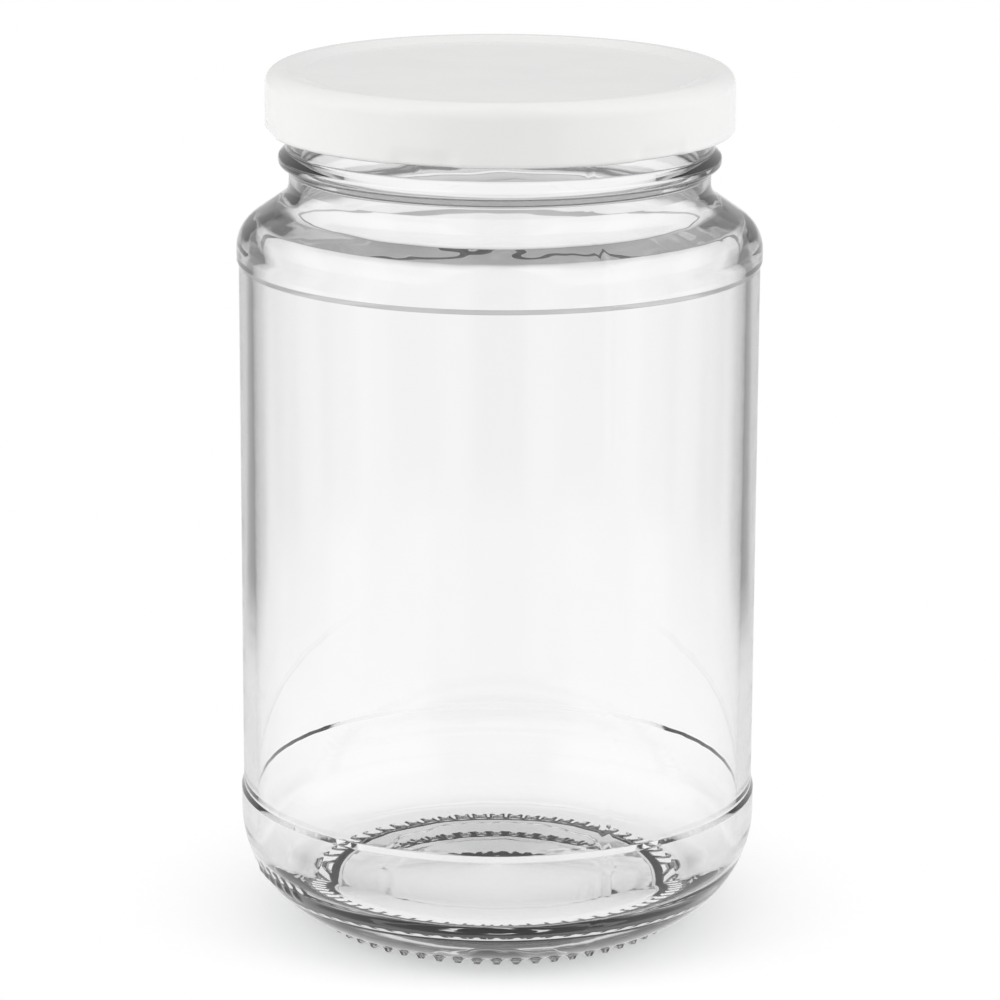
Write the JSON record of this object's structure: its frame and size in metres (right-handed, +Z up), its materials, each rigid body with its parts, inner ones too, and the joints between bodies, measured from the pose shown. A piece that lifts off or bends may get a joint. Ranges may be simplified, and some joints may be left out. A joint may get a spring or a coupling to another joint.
{
  "type": "twist-off glass jar",
  "caption": "Empty clear glass preserve jar with a rounded shoulder, recessed label panel and knurled base, closed by a white steel lug cap.",
  "frame": {"origin": "centre of the circle that the jar stands on, at table height", "axes": "+Z up along the jar's axis of symmetry; the mould seam faces -Y, a little towards +X"},
  "size_m": [0.0957, 0.0956, 0.1591],
  "materials": {
    "flint_glass": "clear colourless container glass, fire polished",
    "white_lacquered_tinplate": "glossy white lacquer on tinplate",
    "sealing_compound": "smooth off-white moulded sealing compound"
  },
  "bodies": {
    "root": {"jar": "flint_glass", "lid": "white_lacquered_tinplate", "seal": "sealing_compound"}
  },
  "joints": []
}
